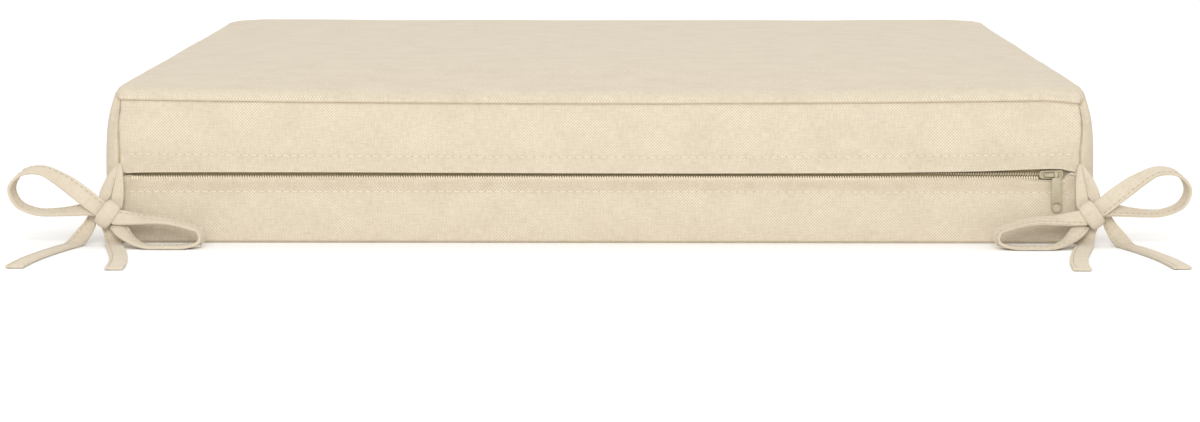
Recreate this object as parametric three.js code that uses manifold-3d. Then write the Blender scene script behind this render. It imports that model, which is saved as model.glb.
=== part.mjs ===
// Garden chair cushion: a square, boxed, filled cushion with a zip along one side
// and a bow of two ties at each end of that side.
// Millimetres, +Z up. The origin is the middle of the flat underside, and the zip side faces -Y.
import * as THREE from 'three';
import { mergeVertices } from 'three/addons/utils/BufferGeometryUtils.js';
import Module from 'manifold-3d';

const wasm = await Module();
wasm.setup();

// Cushion
const SIDE = 500; // over the fullest part of the side strips
const HALF = SIDE / 2;
const CORNER_RADIUS = 15;
const SEAM_HEIGHT = 72.4; // top seam over the underside, at the corners
const SEAM_SAG = 2.1; // how far the top seam dips midway along the zip side
const ROLL_IN = 17; // the top panel rolls over its seam: how far in
const ROLL_UP = 6.6; // and how high
const LIP_INSET = 2.2; // the roll overhangs the top seam, drawn in this much from the fullest part
const CROWN = 4; // rise of the top panel's middle over its roll
const SEAM_DEPTH = 1.2;
const SEAM_ANGLE = THREE.MathUtils.degToRad(26.5); // upright corner seam, round the corner from the zip side
const SEAM_HALF_ANGLE = THREE.MathUtils.degToRad(5);
// Where the sections lie round half of a corner, the seam's groove among them
const CORNER_ANGLES = [
  SEAM_ANGLE / 2,
  SEAM_ANGLE - SEAM_HALF_ANGLE,
  SEAM_ANGLE,
  SEAM_ANGLE + SEAM_HALF_ANGLE,
  Math.PI / 4,
];
const STITCH_DEPTH = 0.5;
const SAG_FADE = 70; // how far in from the zip side the dip of the top seam fades out

// Zip
const LIP_THICKNESS = 1.4;
const GAP = 0.3; // between neighbouring pieces
const OVERLAP = 0.1; // shapes that are joined or cut reach this far into each other
const CHAIN_Z = 35;
const CHAIN_HALF_LENGTH = 236;
const COIL_HEIGHT = 5;
const COIL_THICKNESS = 2;
const COIL_ROUND = 0.7;
const SLIDER_X = 227.5;
const SLIDER_LENGTH = 12;
const SLIDER_HEIGHT = 4.4;
const PLATE_THICKNESS = 1.2;
const PLATE_CORNER = 1.4;
const CORE_TIPS = { left: 4, widest: 2, right: 4, half: 1 }; // the slider's core, from the slider's middle
const BRIDGE_LENGTH = 8;
const BRIDGE_RISE = 2.4;
const BRIDGE_BAR = 0.9;
const BRIDGE_LEG = 1.4;
const BRIDGE_SLOPE = 0.7;
const BRIDGE_WIDTH = 1.6;
const PULL_X = 229;
const PULL_LENGTH = 18;
const PULL_WIDTH = 6;
const PULL_NECK = { width: 3.2, length: 2, shoulder: 4.5 };
const PULL_RING = { wall: 0.6, width: 1.8, corner: 0.5 };
const PULL_THICKNESS = 1;
const PULL_EYE_RADIUS = 1.7;
const PULL_LEAN = THREE.MathUtils.degToRad(5.5);

// Ties
const TIE_WIDTH = 9;
const TIE_THICKNESS = 1.8;
const TIE_EDGE = 0.6; // chamfer along a strip's folded edges
const ROOT_STEPS = 8;
const LOOP_STEPS = 30;
const TAIL_STEPS = 16;
const KNOT = { x: 246.8, y: -259, z: 15.7 };
const BAND_ANGLE = THREE.MathUtils.degToRad(35.6); // the binding turn's axis, over the horizontal
const BAND = { halfLength: 6.6, halfDepth: 4.6, wall: 1.4, width: 8, corner: 3.6 };
const CORE = { along: 4.6, across: 4.6, deep: 2.7, offset: 3 };

const CLOTH = { color: 0xe6d8bd, roughness: 0.95, metalness: 0 };
const TIE_CLOTH = { color: 0xe7dac0, roughness: 0.95, metalness: 0 };
const COIL_PLASTIC = { color: 0x9b8b68, roughness: 0.6, metalness: 0 };
const PAINTED_METAL = { color: 0xc3b697, roughness: 0.45, metalness: 0.3 };

const LOWER_STITCH_Z = 26.7;

// Side strip from the underside to the top seam: height, how far it is drawn in, and whether a row of
// topstitching runs there on the zip side
const SIDE_ROWS = [
  { z: 0, inset: 4, stitched: false },
  { z: 1.5, inset: 1.8, stitched: false },
  { z: 8, inset: 0.6, stitched: false },
  { z: 20, inset: 0, stitched: false },
  { z: 25.7, inset: 0, stitched: false },
  { z: LOWER_STITCH_Z, inset: 0, stitched: true },
  { z: 27.7, inset: 0, stitched: false },
  { z: 44, inset: 0, stitched: false },
  { z: 45.5, inset: 0, stitched: true },
  { z: 47, inset: 0.1, stitched: false },
  { z: 59, inset: 0.9, stitched: false },
  { z: 67, inset: 2.5, stitched: false },
  { z: 71, inset: 3.5, stitched: false },
  { z: SEAM_HEIGHT, inset: 4.6, stitched: false },
];

// Zip opening, from its left end to its right end: the height of the edges of the two lips
const LIP_ROWS = [
  { x: -240.5, upper: 35.3, lower: 34.9 },
  { x: -229, upper: 35.8, lower: 33.7 },
  { x: -150, upper: 35.9, lower: 33.3 },
  { x: 0, upper: 35.5, lower: 33.5 },
  { x: 120, upper: 35.7, lower: 33.3 },
  { x: 195, upper: 36.7, lower: 33.0 },
  { x: SLIDER_X - 8, upper: 37.6, lower: 32.4 },
  { x: SLIDER_X + 8, upper: 37.6, lower: 32.4 },
  { x: 241, upper: 36.3, lower: 35.6 },
];

// Routes of the left bow from its knot: out from the cushion, forward of the knot, height over the
// surface, direction of the strip's width in the same three, and share of the full width where it is gathered
const ROUTE_COLUMNS = ['out', 'forward', 'z', 'widthOut', 'widthForward', 'widthUp', 'gather'];
const OUTER_ROOT = [
  [-3.8, -10.2, 40.4, 1, 0, 0, 0.3],
  [-2.7, -7.5, 37, 0.9, 0.3, 0, 0.4],
  [-0.5, -5.6, 31.5, 0.8, 0.5, 0.1, 0.6],
  [1.4, -4, 26, 0.8, 0.5, 0.2, 0.6],
  [2.8, -1.6, 21.8, 0.75, 0.2, 0.58, 0.4],
  [2, -0.7, 19, 0.75, 0.1, 0.6, 0.35],
];
const OUTER_LOOP = [
  [1.5, 0.9, 17, 0.58, 0, -0.81, 0.92],
  [5.6, 1.2, 20.2, 0.55, 0.1, -0.83, 1],
  [14.2, 0.8, 27, 0.5, 0.3, -0.8, 1],
  [23.8, 0.3, 33.6, 0.35, 0.75, -0.55, 1],
  [33, 0, 37.9, 0.1, 0.92, -0.35, 1],
  [42.5, 0, 36.6, 0.1, 0.97, -0.2, 1],
  [48, 0, 29.2, 0.25, 0.97, 0, 1],
  [45, -0.3, 21.2, 0.2, 0.97, -0.15, 1],
  [35.8, -0.8, 16.9, 0.05, 0.97, -0.2, 1],
  [26, -1.2, 16.6, 0, 0.96, -0.25, 1],
  [16.5, -1.5, 17.4, 0.1, 0.9, -0.4, 1],
  [9.2, -1.5, 18.2, 0.3, 0.6, -0.7, 0.85],
  [3, -1.2, 17.4, 0.5, 0.2, -0.85, 0.8],
];
const OUTER_TAIL = [
  [6, -1.6, 19.2, 0.81, 0, 0.58, 0.3],
  [7.8, -5.8, 15.9, 0.81, 0, 0.58, 0.42],
  [9.8, -5, 10.2, 0.8, 0.1, 0.55, 0.7],
  [13.5, -1.5, 4.6, 0.95, 0, 0.3, 0.9],
  [16.5, 5, 1.3, 0.97, -0.2, 0, 1],
  [20, 16, 1, 0.95, -0.3, 0, 1],
  [25, 36, 1, 0.97, -0.23, 0, 1],
  [29.5, 60, 1, 0.98, -0.15, 0, 1],
  [32, 86, 1, 0.99, -0.1, 0, 1],
];
const INNER_ROOT = [
  [-6.6, -8.3, 40, 1, 0, 0, 0.3],
  [-6.6, -6.9, 36, 1, 0.05, 0, 0.4],
  [-5.8, -6.2, 30, 1, 0.1, 0, 0.5],
  [-5, -5.4, 24, 1, 0.1, 0.1, 0.65],
  [-3.6, -4.1, 18.6, 0.9, 0.1, 0.4, 0.7],
];
const INNER_LOOP = [
  [-2, 2.7, 14.8, 0.58, 0, -0.81, 0.85],
  [-8.5, 3.2, 14.2, 0.3, 0.6, -0.7, 0.95],
  [-17, 4, 13.6, 0.1, 0.92, -0.36, 1],
  [-28, 5, 13.4, 0.05, 0.95, -0.25, 1],
  [-39, 6.5, 11.4, 0.1, 0.97, -0.18, 1],
  [-47.5, 9, 8, 0.2, 0.97, -0.1, 1],
  [-47.5, 11.5, 3.3, 0.2, 0.98, 0, 1],
  [-41, 13.5, 1.3, 0.1, 0.99, 0, 1],
  [-31, 14.5, 1.1, 0.05, 1, 0, 1],
  [-20, 13.5, 1.4, 0, 1, 0, 1],
  [-11.5, 9.5, 4.8, 0.1, 0.9, -0.2, 1],
  [-6, 3.5, 9.6, 0.4, 0.6, -0.6, 0.9],
  [-2.2, -2.6, 13.4, 0.58, 0.1, -0.8, 0.85],
];
const INNER_TAIL = [
  [2.2, -3.4, 10.8, 0.9, 0, -0.4, 0.5],
  [-0.5, -2.4, 6.8, 0.95, 0, -0.3, 0.75],
  [-2.6, 1.5, 2.8, 0.98, 0, -0.15, 0.95],
  [-4.5, 9, 1.2, 0.97, 0.2, 0, 1],
  [-8, 26, 1.1, 0.97, 0.2, 0, 1],
  [-12.5, 50, 1, 0.98, 0.17, 0, 1],
  [-15.5, 74, 1, 0.99, 0.1, 0, 1],
  [-16.5, 92, 1, 1, 0.05, 0, 1],
];

function solidFrom(geometry) {
  const bare = geometry.clone();
  bare.deleteAttribute('normal');
  bare.deleteAttribute('uv');
  const merged = mergeVertices(bare, 1e-4);
  const vertProperties = new Float32Array(merged.attributes.position.array);
  const triVerts = new Uint32Array(merged.index.array);
  return new wasm.Manifold(new wasm.Mesh({ numProp: 3, vertProperties, triVerts }));
}

function geometryFrom(solid) {
  const mesh = solid.getMesh();
  const geometry = new THREE.BufferGeometry();
  geometry.setAttribute('position', new THREE.BufferAttribute(new Float32Array(mesh.vertProperties), 3));
  geometry.setIndex(new THREE.BufferAttribute(new Uint32Array(mesh.triVerts), 1));
  geometry.computeVertexNormals();
  return geometry;
}

function piece(name, geometry, finish) {
  const mesh = new THREE.Mesh(geometry, new THREE.MeshStandardMaterial(finish));
  mesh.name = name;
  return mesh;
}

// A block between two corners
function block(low, high) {
  const size = new THREE.Vector3().subVectors(high, low);
  const middle = new THREE.Vector3().addVectors(low, high).multiplyScalar(0.5);
  return new THREE.BoxGeometry(size.x, size.y, size.z).translate(middle.x, middle.y, middle.z);
}

// An outline in X and Y, pushed along Z
function pushed(shape, depth, curveSegments) {
  return new THREE.ExtrudeGeometry(shape, { depth, curveSegments, bevelEnabled: false });
}

// An outline in X and Z, pushed through Y from its front face to its back face
function slab(shape, front, back) {
  return pushed(shape, back - front, 6).rotateX(Math.PI / 2).translate(0, back, 0);
}

function roundedRectangle(halfWidth, halfHeight, radius) {
  const shape = new THREE.Shape();
  shape.absarc(halfWidth - radius, halfHeight - radius, radius, 0, Math.PI / 2);
  shape.absarc(radius - halfWidth, halfHeight - radius, radius, Math.PI / 2, Math.PI);
  shape.absarc(radius - halfWidth, radius - halfHeight, radius, Math.PI, Math.PI * 1.5);
  shape.absarc(halfWidth - radius, radius - halfHeight, radius, Math.PI * 1.5, Math.PI * 2);
  shape.closePath();
  return shape;
}

// Cushion: distances along a side from one corner to the other, close together round the corners
function sideStations() {
  const straight = HALF - CORNER_RADIUS;
  const along = [0.25, 0.48, 0.68, 0.84, 0.94, 1].map((share) => share * straight);
  const half = [...along, ...CORNER_ANGLES.map((angle) => straight + CORNER_RADIUS * Math.tan(angle))];
  return [...half.toReversed().map((place) => -place), 0, ...half];
}

// Square outline to one with round corners, at every distance from its edge
function roundCorner(x, y) {
  const straight = HALF - CORNER_RADIUS;
  const across = Math.abs(x) - straight;
  const along = Math.abs(y) - straight;
  if (across <= 0 || along <= 0) {
    return [x, y];
  }
  const shrink = Math.max(across, along) / Math.hypot(across, along);
  return [Math.sign(x) * (straight + across * shrink), Math.sign(y) * (straight + along * shrink)];
}

// Height of the top panel over its seam
function topRise(x, y) {
  const fromEdge = HALF - Math.max(Math.abs(x), Math.abs(y));
  const rolled = 1 - Math.min(fromEdge, ROLL_IN) / ROLL_IN;
  const crown = CROWN * (1 - (x / HALF) ** 2) * (1 - (y / HALF) ** 2);
  return ROLL_UP * Math.sqrt(1 - rolled ** 2) + crown;
}

function seamDip(x, y, z) {
  const height = THREE.MathUtils.clamp((z - LOWER_STITCH_Z) / (SEAM_HEIGHT - LOWER_STITCH_Z), 0, 1);
  const nearness = THREE.MathUtils.clamp(1 - (y + HALF) / SAG_FADE, 0, 1);
  return SEAM_SAG * (1 - (x / HALF) ** 2) * height * nearness;
}

function cushionSolid() {
  const stations = sideStations();
  const last = stations.length - 1;
  const top = SIDE_ROWS.length - 1;
  const seam = last - CORNER_ANGLES.toReversed().indexOf(SEAM_ANGLE);
  const geometry = new THREE.BoxGeometry(2, 2, 2, last, last, top);
  const position = geometry.attributes.position;
  for (let n = 0; n < position.count; n += 1) {
    const i = Math.round((position.getX(n) + 1) / 2 * last);
    const j = Math.round((position.getY(n) + 1) / 2 * last);
    const k = Math.round((position.getZ(n) + 1) / 2 * top);
    const row = SIDE_ROWS[k];
    const onSeam = j === 0 && (i === seam || i === last - seam) && k > 0 && k < top;
    const onStitch = j === 0 && row.stitched && i > last - seam && i < seam;
    const onTopPanel = k === top && i > 0 && i < last && j > 0 && j < last;
    const drawnIn = onTopPanel ? LIP_INSET : row.inset + (onSeam ? SEAM_DEPTH : 0);
    const [x, y] = roundCorner(stations[i], stations[j]).map((place) => place * (1 - drawnIn / HALF));
    const rise = k === top ? topRise(stations[i], stations[j]) : 0;
    const z = row.z + rise - seamDip(stations[i], stations[j], row.z);
    position.setXYZ(n, x, y + (onStitch ? STITCH_DEPTH : 0), z);
  }
  return solidFrom(geometry);
}

// The opening between the lips, the channel behind them for the chain, and room for the slider's back plate
function zipRoom() {
  const mouth = new THREE.Shape([
    ...LIP_ROWS.map((row) => new THREE.Vector2(row.x, row.upper)),
    ...LIP_ROWS.toReversed().map((row) => new THREE.Vector2(row.x, row.lower)),
  ]);
  const chain = chainFaces();
  const opening = slab(mouth, -HALF - LIP_THICKNESS, chain.front - GAP + OVERLAP);
  const low = CHAIN_Z - COIL_HEIGHT / 2 - GAP;
  const high = CHAIN_Z + COIL_HEIGHT / 2 + GAP;
  const channel = block(
    new THREE.Vector3(-CHAIN_HALF_LENGTH - GAP, chain.front - GAP, low),
    new THREE.Vector3(CHAIN_HALF_LENGTH + GAP, chain.back + GAP, high),
  );
  const reach = SLIDER_LENGTH / 2 + GAP;
  const pocketBack = chain.back + PLATE_THICKNESS + 2 * GAP;
  const pocket = block(
    new THREE.Vector3(SLIDER_X - reach, chain.front, low),
    new THREE.Vector3(SLIDER_X + reach, pocketBack, high),
  );
  return solidFrom(opening).add(solidFrom(channel)).add(solidFrom(pocket));
}

// Front and back of the coil, behind the lips
function chainFaces() {
  const front = -HALF + LIP_THICKNESS + GAP;
  return { front, back: front + COIL_THICKNESS };
}

// The slider's core, which parts the two rows of the coil
function coreOutline(margin) {
  const shape = new THREE.Shape();
  const half = CORE_TIPS.half + margin;
  const slimness = (CORE_TIPS.left + CORE_TIPS.widest) / CORE_TIPS.half;
  shape.moveTo(SLIDER_X - CORE_TIPS.left - slimness * margin, CHAIN_Z);
  shape.lineTo(SLIDER_X + CORE_TIPS.widest, CHAIN_Z - half);
  shape.lineTo(SLIDER_X + CORE_TIPS.right + 2 * margin, CHAIN_Z);
  shape.lineTo(SLIDER_X + CORE_TIPS.widest, CHAIN_Z + half);
  shape.closePath();
  return shape;
}

function zipChain() {
  const chain = chainFaces();
  const section = roundedRectangle(COIL_THICKNESS / 2, COIL_HEIGHT / 2, COIL_ROUND);
  const bar = pushed(section, 2 * CHAIN_HALF_LENGTH, 2).rotateX(Math.PI / 2).rotateZ(Math.PI / 2);
  bar.translate(-CHAIN_HALF_LENGTH, (chain.front + chain.back) / 2, CHAIN_Z);
  const parting = slab(coreOutline(GAP), chain.front - OVERLAP, chain.back + OVERLAP);
  return geometryFrom(solidFrom(bar).subtract(solidFrom(parting)));
}

// The arch on the slider's front plate, which holds the pull's ring
function bridgeOutline() {
  const half = BRIDGE_LENGTH / 2;
  const arch = new THREE.Shape();
  arch.moveTo(-half, -OVERLAP);
  arch.lineTo(half, -OVERLAP);
  arch.lineTo(half - BRIDGE_SLOPE, BRIDGE_RISE);
  arch.lineTo(BRIDGE_SLOPE - half, BRIDGE_RISE);
  arch.closePath();
  const underArch = new THREE.Path();
  underArch.moveTo(BRIDGE_LEG - half, GAP);
  underArch.lineTo(BRIDGE_LEG - half, BRIDGE_RISE - BRIDGE_BAR);
  underArch.lineTo(half - BRIDGE_LEG, BRIDGE_RISE - BRIDGE_BAR);
  underArch.lineTo(half - BRIDGE_LEG, GAP);
  underArch.closePath();
  arch.holes.push(underArch);
  return arch;
}

function zipSlider() {
  const chain = chainFaces();
  const plateBack = chain.front - GAP;
  const plateFront = plateBack - PLATE_THICKNESS;
  const plate = roundedRectangle(SLIDER_LENGTH / 2, SLIDER_HEIGHT / 2, PLATE_CORNER);
  const frontPlate = slab(plate, plateFront, plateBack).translate(SLIDER_X, 0, CHAIN_Z);
  const backFront = chain.back + GAP;
  const backPlate = slab(plate, backFront, backFront + PLATE_THICKNESS).translate(SLIDER_X, 0, CHAIN_Z);
  const core = slab(coreOutline(0), plateBack - OVERLAP, backFront + OVERLAP);
  const bridge = pushed(bridgeOutline(), BRIDGE_WIDTH, 1).rotateX(Math.PI);
  bridge.translate(SLIDER_X, plateFront, CHAIN_Z + BRIDGE_WIDTH / 2);
  const plates = solidFrom(frontPlate).add(solidFrom(backPlate));
  return geometryFrom(plates.add(solidFrom(core)).add(solidFrom(bridge)));
}

// The pull hangs by a small ring from the middle of the bridge's bar, which is this mesh's own origin
function zipPull() {
  const inner = { y: BRIDGE_BAR / 2 + GAP, z: BRIDGE_WIDTH / 2 + GAP };
  const ringOutline = roundedRectangle(inner.y + PULL_RING.wall, inner.z + PULL_RING.wall, PULL_RING.corner);
  ringOutline.holes.push(roundedRectangle(inner.y, inner.z, PULL_RING.corner / 2));
  const ring = pushed(ringOutline, PULL_RING.width, 2).rotateX(Math.PI / 2).rotateZ(Math.PI / 2);
  ring.translate(-PULL_RING.width / 2, 0, 0);
  const front = -inner.y - PULL_RING.wall - OVERLAP;
  const tab = slab(pullOutline(-inner.z), front, front + PULL_THICKNESS);
  return geometryFrom(solidFrom(ring).add(solidFrom(tab)));
}

// Flat tab with a neck, a round end and an eye
function pullOutline(top) {
  const roundCentre = top - PULL_LENGTH + PULL_WIDTH / 2;
  const neckEnd = top - PULL_NECK.length;
  const shoulder = top - PULL_NECK.shoulder;
  const tab = new THREE.Shape();
  tab.moveTo(-PULL_NECK.width / 2, top);
  tab.lineTo(-PULL_NECK.width / 2, neckEnd);
  tab.lineTo(-PULL_WIDTH / 2, shoulder);
  tab.absarc(0, roundCentre, PULL_WIDTH / 2, Math.PI, Math.PI * 2);
  tab.lineTo(PULL_WIDTH / 2, shoulder);
  tab.lineTo(PULL_NECK.width / 2, neckEnd);
  tab.lineTo(PULL_NECK.width / 2, top);
  tab.closePath();
  const eye = new THREE.Path();
  eye.absarc(0, roundCentre, PULL_EYE_RADIUS, 0, Math.PI * 2);
  tab.holes.push(eye);
  return tab;
}

// A strip of cloth along a route, turned and gathered as its table says
class StripPath extends THREE.CatmullRomCurve3 {
  constructor(route, side) {
    const rows = route.map((row) => Object.fromEntries(ROUTE_COLUMNS.map((name, n) => [name, row[n]])));
    super(rows.map((row) => new THREE.Vector3(side * (KNOT.x + row.out), KNOT.y - row.forward, row.z)));
    this.widths = rows.map((row) => new THREE.Vector3(side * row.widthOut, -row.widthForward, row.widthUp));
    this.gathers = rows.map((row) => row.gather);
  }

  // Length-wise place in the route's rows: the row before it and the share of the way to the next
  rowAt(share) {
    const place = this.getUtoTmapping(share) * (this.points.length - 1);
    const row = Math.min(Math.floor(place), this.points.length - 2);
    return [row, place - row];
  }

  computeFrenetFrames(steps) {
    const frames = { tangents: [], normals: [], binormals: [] };
    for (let n = 0; n <= steps; n += 1) {
      const [row, part] = this.rowAt(n / steps);
      const tangent = this.getTangentAt(n / steps);
      const width = this.widths[row].clone().lerp(this.widths[row + 1], part);
      width.addScaledVector(tangent, -width.dot(tangent)).normalize();
      const across = new THREE.Vector3().crossVectors(tangent, width);
      const gather = THREE.MathUtils.lerp(this.gathers[row], this.gathers[row + 1], part);
      frames.tangents.push(tangent);
      frames.normals.push(width.multiplyScalar(gather));
      frames.binormals.push(across);
    }
    return frames;
  }
}

// Flat section with rounded edges, eight-sided
function stripSection() {
  const width = TIE_WIDTH / 2;
  const thickness = TIE_THICKNESS / 2;
  return new THREE.Shape([
    new THREE.Vector2(width, TIE_EDGE - thickness),
    new THREE.Vector2(width, thickness - TIE_EDGE),
    new THREE.Vector2(width - TIE_EDGE, thickness),
    new THREE.Vector2(TIE_EDGE - width, thickness),
    new THREE.Vector2(-width, thickness - TIE_EDGE),
    new THREE.Vector2(-width, TIE_EDGE - thickness),
    new THREE.Vector2(TIE_EDGE - width, -thickness),
    new THREE.Vector2(width - TIE_EDGE, -thickness),
  ]);
}

function strip(route, side, steps) {
  const extrudePath = new StripPath(route, side);
  return solidFrom(new THREE.ExtrudeGeometry(stripSection(), { steps, extrudePath, bevelEnabled: false }));
}

// Turns a shape made round the knot, with X along the binding turn's axis, into its place in a bow
function placeAtKnot(geometry, side) {
  return geometry.rotateY(-side * BAND_ANGLE).translate(side * KNOT.x, KNOT.y, KNOT.z);
}

// The turn of the inner tie that binds the bow
function bindingTurn(side) {
  const outline = roundedRectangle(BAND.halfDepth, BAND.halfLength, BAND.corner);
  const wall = BAND.wall;
  outline.holes.push(roundedRectangle(BAND.halfDepth - wall, BAND.halfLength - wall, BAND.corner - wall));
  const band = pushed(outline, BAND.width, 4).rotateX(Math.PI / 2).rotateZ(Math.PI / 2);
  return solidFrom(placeAtKnot(band.translate(-BAND.width / 2, 0, 0), side));
}

// The outer tie's crossing inside that turn
function knotCore(side) {
  const core = new THREE.SphereGeometry(1, 12, 8).scale(CORE.along, CORE.deep, CORE.across);
  core.translate(side * CORE.offset, 0, 0);
  return solidFrom(placeAtKnot(core, side));
}

function outerTie(side) {
  const root = strip(OUTER_ROOT, side, ROOT_STEPS);
  const loop = strip(OUTER_LOOP, side, LOOP_STEPS);
  const tail = strip(OUTER_TAIL, side, TAIL_STEPS);
  return geometryFrom(root.add(loop).add(tail).add(knotCore(side)));
}

function innerTie(side) {
  const root = strip(INNER_ROOT, side, ROOT_STEPS);
  const loop = strip(INNER_LOOP, side, LOOP_STEPS);
  const tail = strip(INNER_TAIL, side, TAIL_STEPS);
  return geometryFrom(root.add(loop).add(tail).add(bindingTurn(side)));
}

const cushion = new THREE.Group();
cushion.add(piece('cushion', geometryFrom(cushionSolid().subtract(zipRoom())), CLOTH));
cushion.add(piece('zip_chain', zipChain(), COIL_PLASTIC));
cushion.add(piece('zip_slider', zipSlider(), PAINTED_METAL));

const pull = piece('zip_pull', zipPull(), PAINTED_METAL);
const barMiddle = chainFaces().front - GAP - PLATE_THICKNESS - BRIDGE_RISE + BRIDGE_BAR / 2;
pull.position.set(PULL_X, barMiddle, CHAIN_Z);
pull.rotation.x = PULL_LEAN;
cushion.add(pull);

for (const [end, side] of [['left', -1], ['right', 1]]) {
  cushion.add(piece(`tie_${end}_outer`, outerTie(side), TIE_CLOTH));
  cushion.add(piece(`tie_${end}_inner`, innerTie(side), TIE_CLOTH));
}

export default cushion;
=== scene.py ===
import math

import bmesh
import bpy
from mathutils import Matrix, Vector, noise
from mathutils.bvhtree import BVHTree


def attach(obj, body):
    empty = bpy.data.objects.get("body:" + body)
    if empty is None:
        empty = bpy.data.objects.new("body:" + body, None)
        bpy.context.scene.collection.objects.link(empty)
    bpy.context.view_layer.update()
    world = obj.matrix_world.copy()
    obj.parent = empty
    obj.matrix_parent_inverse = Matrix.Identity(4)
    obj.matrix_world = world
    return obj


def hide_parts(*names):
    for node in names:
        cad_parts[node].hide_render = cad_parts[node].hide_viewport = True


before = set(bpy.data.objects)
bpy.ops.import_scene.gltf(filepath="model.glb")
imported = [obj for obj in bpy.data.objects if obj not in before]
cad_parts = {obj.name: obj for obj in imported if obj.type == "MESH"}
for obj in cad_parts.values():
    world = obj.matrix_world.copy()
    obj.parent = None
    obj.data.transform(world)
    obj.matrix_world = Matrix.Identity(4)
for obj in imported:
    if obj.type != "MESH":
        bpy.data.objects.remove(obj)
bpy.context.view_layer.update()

MM = 0.001

# Cushion
SIDE = 500 * MM
HALF = SIDE / 2
CORNER_RADIUS = 11 * MM
STRAIGHT = HALF - CORNER_RADIUS
SEAM_HEIGHT = 72.4 * MM
SEAM_INSET = 4.6 * MM
SEAM_SAG = 2.1 * MM
SAG_FADE = 70 * MM
LIP_START = 1.2 * MM
ZIP_LIP_INSET = 2.2 * MM
BACK_LIP_INSET = 4.2 * MM
SIDE_LIP_INSET = 4.8 * MM
SIDE_DRAW = 1 * MM
BACK_RUN = 30 * MM
BACK_CORNER = 14 * MM
ROLL_IN = 17 * MM
ROLL_UP = 6.6 * MM
VALLEY = 0.5 * MM
SLACK_CROWN = 1.2 * MM
SWELL_LIMIT = 4 * MM
CORNER_SEAM = STRAIGHT + CORNER_RADIUS * math.tan(math.radians(17))
EDGE_BAND = 9 * MM
SIDE_LIFT = 4 * MM
SIDE_LIFT_RUN = 18 * MM
CORNER_DROOP = 2 * MM
LEFT_BOW = 0.7 * MM
RIGHT_BOW = 1.8 * MM
# How dark the painted shade in the top seam's groove is
SEAM_SHADE_TONE = 0.4
LEFT_DIMPLES = (5.2 * MM,)
RIGHT_DIMPLES = (4.4 * MM, 9.6 * MM)
LOWER_STITCH = 26 * MM
UPPER_STITCH = 45.5 * MM
BASE_SEAM = 0.4 * MM
STITCH_PITCH = 4.1 * MM

# Side strip: height and how far it is drawn in
SIDE_PROFILE = (
    (0.0, 1.5),
    (0.5, 0.8),
    (1.6, 0.5),
    (8.0, 0.2),
    (20.0, 0.0),
    (36.0, 0.0),
    (47.0, 0.1),
    (55.0, 0.6),
    (62.0, 1.5),
    (67.0, 2.5),
    (70.0, 3.2),
    (71.6, 3.7),
    (72.4, 4.6),
)
# Height and the share of the top seam's dip that shows there on the zip side
DIP_PROFILE = ((0.0, 0.0), (37.4, 0.0), (45.5, 0.85), (60.0, 0.95), (72.4, 1.0))
# Back edge: distance from its middle, and how much higher the top panel rolls there than at the zip side
BACK_EDGE = ((0.0, 1.2), (130.0, 2.2), (195.0, 2.8), (216.0, 2.7), (226.0, 1.6), (233.0, 0.6), (250.0, 0.0))
BACK_EARS = ((212.0, 0.0), (225.0, 0.8), (235.0, 1.5), (242.0, 0.8), (250.0, 0.0))
# Lines of the cover's grid: distances in from an edge, and heights up the side strips
EDGE_LINES = (0.5, 1.2, 2.2, 3.4, 4.8, 6.2, 7.2, 7.64, 8.1, 9.2, 10.4, 11.8, 14.0, 16.5, 20.0, 24.5, 30.0, 37.0)
MIDDLE_LINE = 45.0
MIDDLE_LINES = 41
SIDE_LINES = (
    *(0.4, 0.75, 1.1, 1.5, 2.1, 4.0, 7.0, 12.0, 17.0, 21.5, 23.9, 25.2, 26.0, 26.8, 28.1, 30.0),
    *(39.0, 41.5, 43.4, 44.7, 45.5, 46.3, 47.6, 50.0, 54.0, 58.0, 62.0, 65.0, 67.5, 69.4, 70.8, 71.7, 72.1),
)
# Folds of the zip's lips: height of the grid line, lip, height over that lip's edge, and depth behind the side
ZIP_FOLDS = (
    (31.6, 0, -0.9, -1.5),
    (32.2, 0, -0.2, -1.4),
    (32.8, 0, 0.05, -0.5),
    (33.2, 0, -0.1, 0.9),
    (33.6, 0, -1.8, 1.5),
    (34.0, 0, -1.8, 4.5),
    (35.0, 1, 1.8, 4.5),
    (35.4, 1, 1.8, 1.5),
    (35.8, 1, 0.1, 1.1),
    (36.2, 1, -0.05, 0.2),
    (36.8, 1, 0.15, -0.5),
    (37.4, 1, 0.9, -0.6),
)
# Zip opening: place along the side, and heights of the lower and the upper lip's edge
LIPS = (
    (-240.5, 34.9, 35.3),
    (-229.0, 33.7, 35.8),
    (-150.0, 33.3, 35.9),
    (0.0, 33.5, 35.5),
    (120.0, 33.3, 35.7),
    (195.0, 33.3, 36.7),
    (214.0, 33.1, 37.6),
    (220.5, 32.5, 37.8),
    (231.0, 32.4, 37.9),
    (233.8, 32.7, 37.8),
    (235.8, 35.8, 37.0),
    (238.0, 36.3, 36.7),
    (241.0, 36.4, 36.6),
)

# Zip
CHAIN_Z = 35 * MM
CHAIN_HALF = 236 * MM
ZIP_STOP = 239.4 * MM
COIL_Y = -247.5 * MM
TOOTH_PITCH = 1.25 * MM
COIL_SPREAD = 1.85 * MM
COIL_CLOSING = 1.6 * MM
SLIDER_X = 227.5 * MM
PLATE_FRONT = -249.8 * MM
PLATE = (12 * MM, 1.2 * MM, 4.7 * MM)
PULL_X = 229.6 * MM
PULL_Y = -251.75 * MM
EYE_RADIUS = 2.25 * MM
PULL_LEAN = math.radians(5.5)
PULL_SWING = math.radians(-2.2)

# Ties
TIE_WIDTH = 9 * MM
TIE_THICKNESS = 1.8 * MM
KNOT = Vector((246.8, -259, 15.7)) * MM
BAND_ANGLE = math.radians(35.6)
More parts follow.
